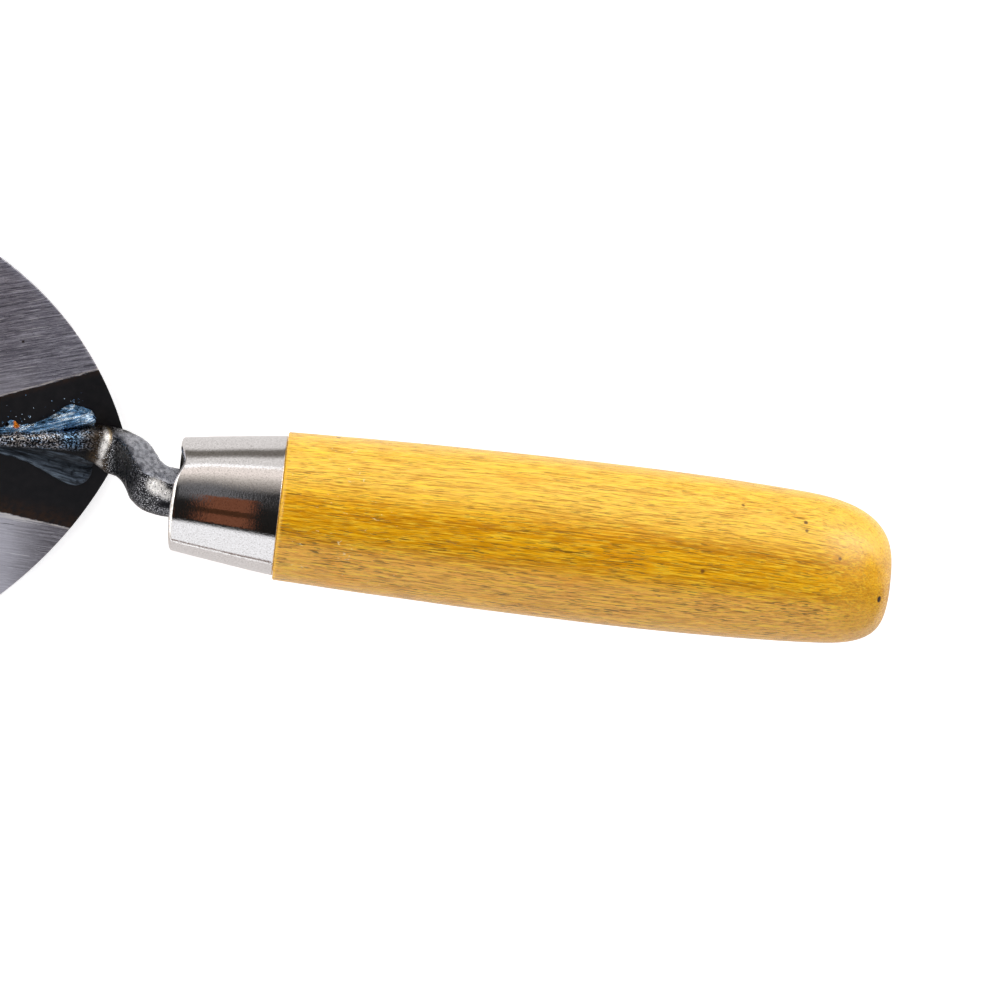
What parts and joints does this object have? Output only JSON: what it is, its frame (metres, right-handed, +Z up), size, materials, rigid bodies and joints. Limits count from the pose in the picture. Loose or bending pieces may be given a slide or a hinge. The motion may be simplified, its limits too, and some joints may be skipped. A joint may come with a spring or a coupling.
{
  "type": "brick trowel",
  "caption": "Bricklayer's trowel: a broad pointed steel blade with a welded cranked tang, a tapered metal ferrule and a turned wooden handle.",
  "frame": {"origin": "on the blade's flat underside, on the centreline, half way along the blade", "axes": "+X from the toe towards the handle's butt, +Y across to the left of the blade, +Z up, away from the underside"},
  "size_m": [0.3811, 0.115, 0.0839],
  "materials": {
    "blade_steel": "ground bright with fine scratches, black mill scale left in a wedge at the heel",
    "forged_steel": "black forging scale, rough and speckled, slightly shiny",
    "weld_metal": "rippled weld metal with a blue-grey temper colour",
    "ferrule_metal": "bright plated sheet steel, slightly satin",
    "handle_wood": "clear golden lacquer over open-pored hardwood"
  },
  "bodies": {
    "root": {"blade": "blade_steel", "tang": "forged_steel", "weld_bead_left": "weld_metal", "weld_bead_right": "weld_metal", "ferrule": "ferrule_metal", "handle": "handle_wood"}
  },
  "joints": []
}
